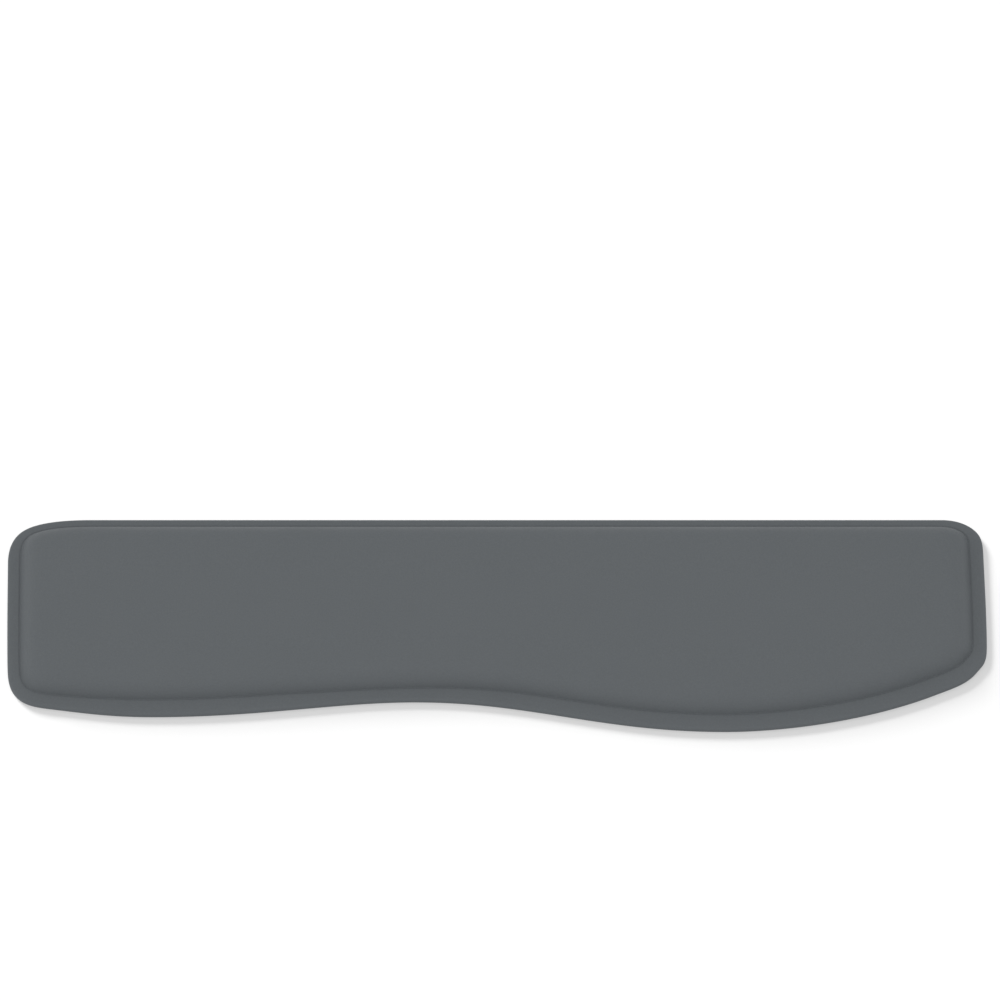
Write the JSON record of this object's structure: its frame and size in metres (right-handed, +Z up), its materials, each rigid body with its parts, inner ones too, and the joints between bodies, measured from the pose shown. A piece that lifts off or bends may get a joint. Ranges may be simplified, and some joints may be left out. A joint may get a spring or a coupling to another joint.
{
  "type": "keyboard wrist rest",
  "caption": "Long low keyboard wrist rest: gel and foam pad under a moulded skin with a flat rim, straight back edge, waved front edge, stiff plate and rubber feet.",
  "frame": {"origin": "on the standing plane, below the middle of the bounding box", "axes": "+X to the user's right along the keyboard, +Y to the straight back edge that meets the keyboard, +Z up out of the pad"},
  "size_m": [0.4566, 0.1142, 0.0119],
  "materials": {
    "skin": "matte",
    "film": "satin",
    "gel": "satin",
    "foam": "matte",
    "tape": "satin",
    "plate": "satin",
    "foot_rubber": "matte"
  },
  "bodies": {
    "root": {"cover_skin": "skin", "gel_film_upper": "film", "gel_core": "gel", "gel_film_lower": "film", "foam_cushion": "foam", "foam_adhesive": "tape", "hem_adhesive": "tape", "base_plate": "plate", "foot_1": "foot_rubber", "foot_2": "foot_rubber", "foot_3": "foot_rubber", "foot_4": "foot_rubber", "foot_5": "foot_rubber", "foot_6": "foot_rubber", "foot_7": "foot_rubber", "foot_8": "foot_rubber"}
  },
  "joints": []
}
